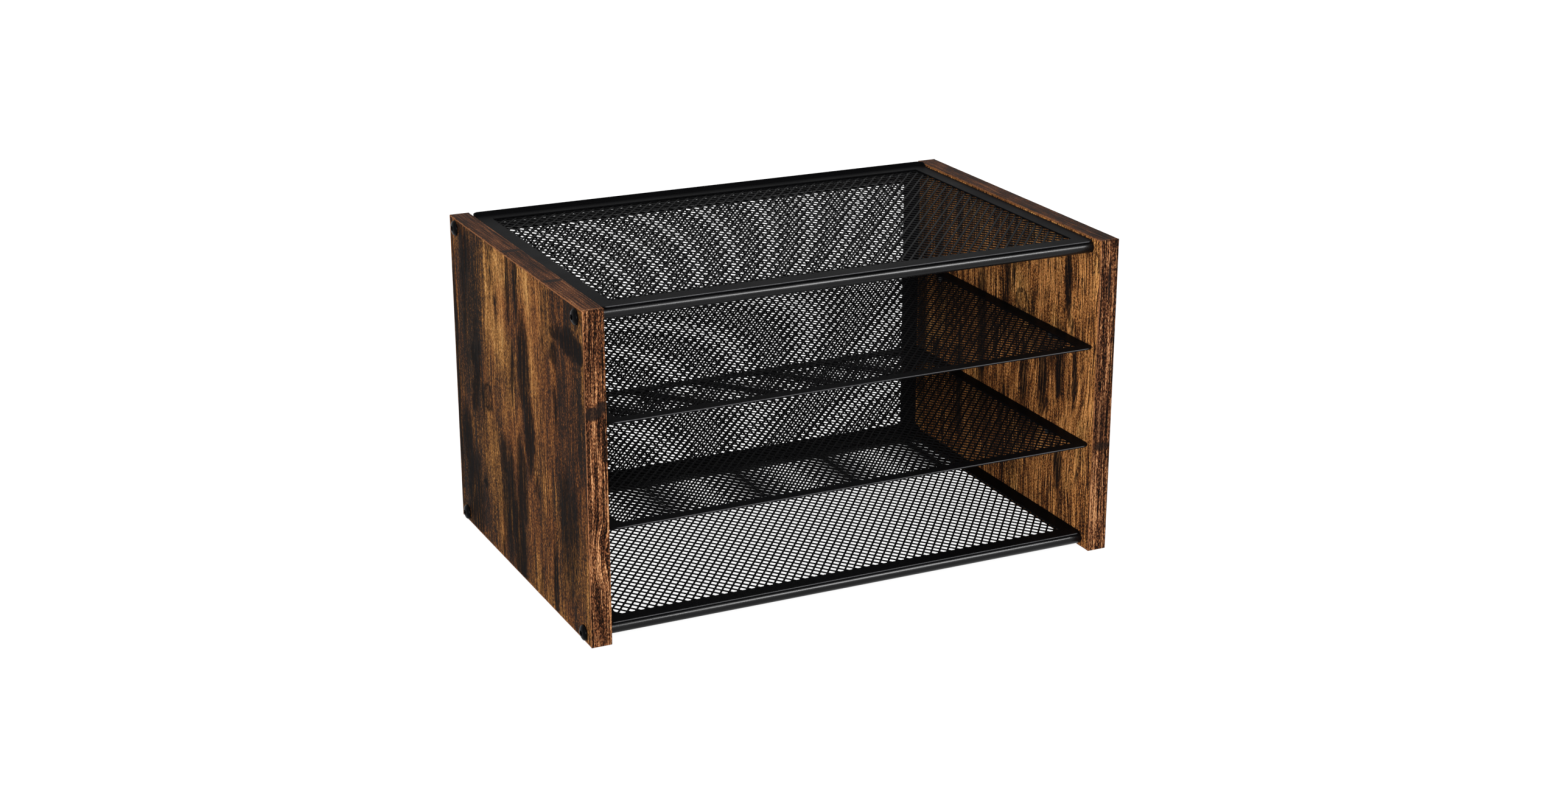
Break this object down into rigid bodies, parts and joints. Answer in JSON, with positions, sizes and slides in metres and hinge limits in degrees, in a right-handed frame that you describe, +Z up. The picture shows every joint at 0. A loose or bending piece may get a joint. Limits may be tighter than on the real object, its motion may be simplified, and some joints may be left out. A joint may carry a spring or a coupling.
{
  "type": "desk file organizer",
  "caption": "Free-standing desk organizer with wood-print side panels, metal cross rods and black diamond-mesh shelves and back for files; the middle shelves pull out to the front.",
  "frame": {"origin": "on the desk surface, at the middle of the width and of the depth", "axes": "+X to the right along the width, -Y towards the open front, +Z up"},
  "size_m": [0.355, 0.2326, 0.2046],
  "materials": {
    "panel_board_wood": "satin rustic brown wood print with dark vertical grain",
    "edge_band_wood": "matte embossed wood-print edge band",
    "shelf_plate_metal": "satin black powder coat",
    "shelf_mesh_metal": "satin black powder coat",
    "rod_metal": "semi-gloss black coat",
    "screw_metal": "satin black",
    "pin_metal": "plain zinc-plated steel"
  },
  "bodies": {
    "frame": {"left_panel_board": "panel_board_wood", "left_panel_front_band": "edge_band_wood", "left_panel_back_band": "edge_band_wood", "left_panel_top_band": "edge_band_wood", "left_panel_bottom_band": "edge_band_wood", "left_front_top_screw": "screw_metal", "left_back_top_screw": "screw_metal", "left_front_bottom_screw": "screw_metal", "left_back_bottom_screw": "screw_metal", "left_front_upper_pin": "pin_metal", "left_back_upper_pin": "pin_metal", "left_front_lower_pin": "pin_metal", "left_back_lower_pin": "pin_metal", "right_panel_board": "panel_board_wood", "right_panel_front_band": "edge_band_wood", "right_panel_back_band": "edge_band_wood", "right_panel_top_band": "edge_band_wood", "right_panel_bottom_band": "edge_band_wood", "right_front_top_screw": "screw_metal", "right_back_top_screw": "screw_metal", "right_front_bottom_screw": "screw_metal", "right_back_bottom_screw": "screw_metal", "right_front_upper_pin": "pin_metal", "right_back_upper_pin": "pin_metal", "right_front_lower_pin": "pin_metal", "right_back_lower_pin": "pin_metal", "front_top_rod": "rod_metal", "back_top_rod": "rod_metal", "front_bottom_rod": "rod_metal", "back_bottom_rod": "rod_metal", "top_shelf_rim": "shelf_plate_metal", "top_shelf_mesh": "shelf_mesh_metal", "bottom_shelf_rim": "shelf_plate_metal", "bottom_shelf_mesh": "shelf_mesh_metal", "back_mesh": "shelf_mesh_metal"},
    "upper_middle_shelf": {"upper_middle_shelf_rim": "shelf_plate_metal", "upper_middle_shelf_mesh": "shelf_mesh_metal"},
    "lower_middle_shelf": {"lower_middle_shelf_rim": "shelf_plate_metal", "lower_middle_shelf_mesh": "shelf_mesh_metal"}
  },
  "joints": [
    {"name": "upper_middle_shelf_slide", "type": "slide", "parent": "frame", "child": "upper_middle_shelf", "axis": [0, -1, 0], "range_m": [0, 0.235]},
    {"name": "lower_middle_shelf_slide", "type": "slide", "parent": "frame", "child": "lower_middle_shelf", "axis": [0, -1, 0], "range_m": [0, 0.235]}
  ]
}
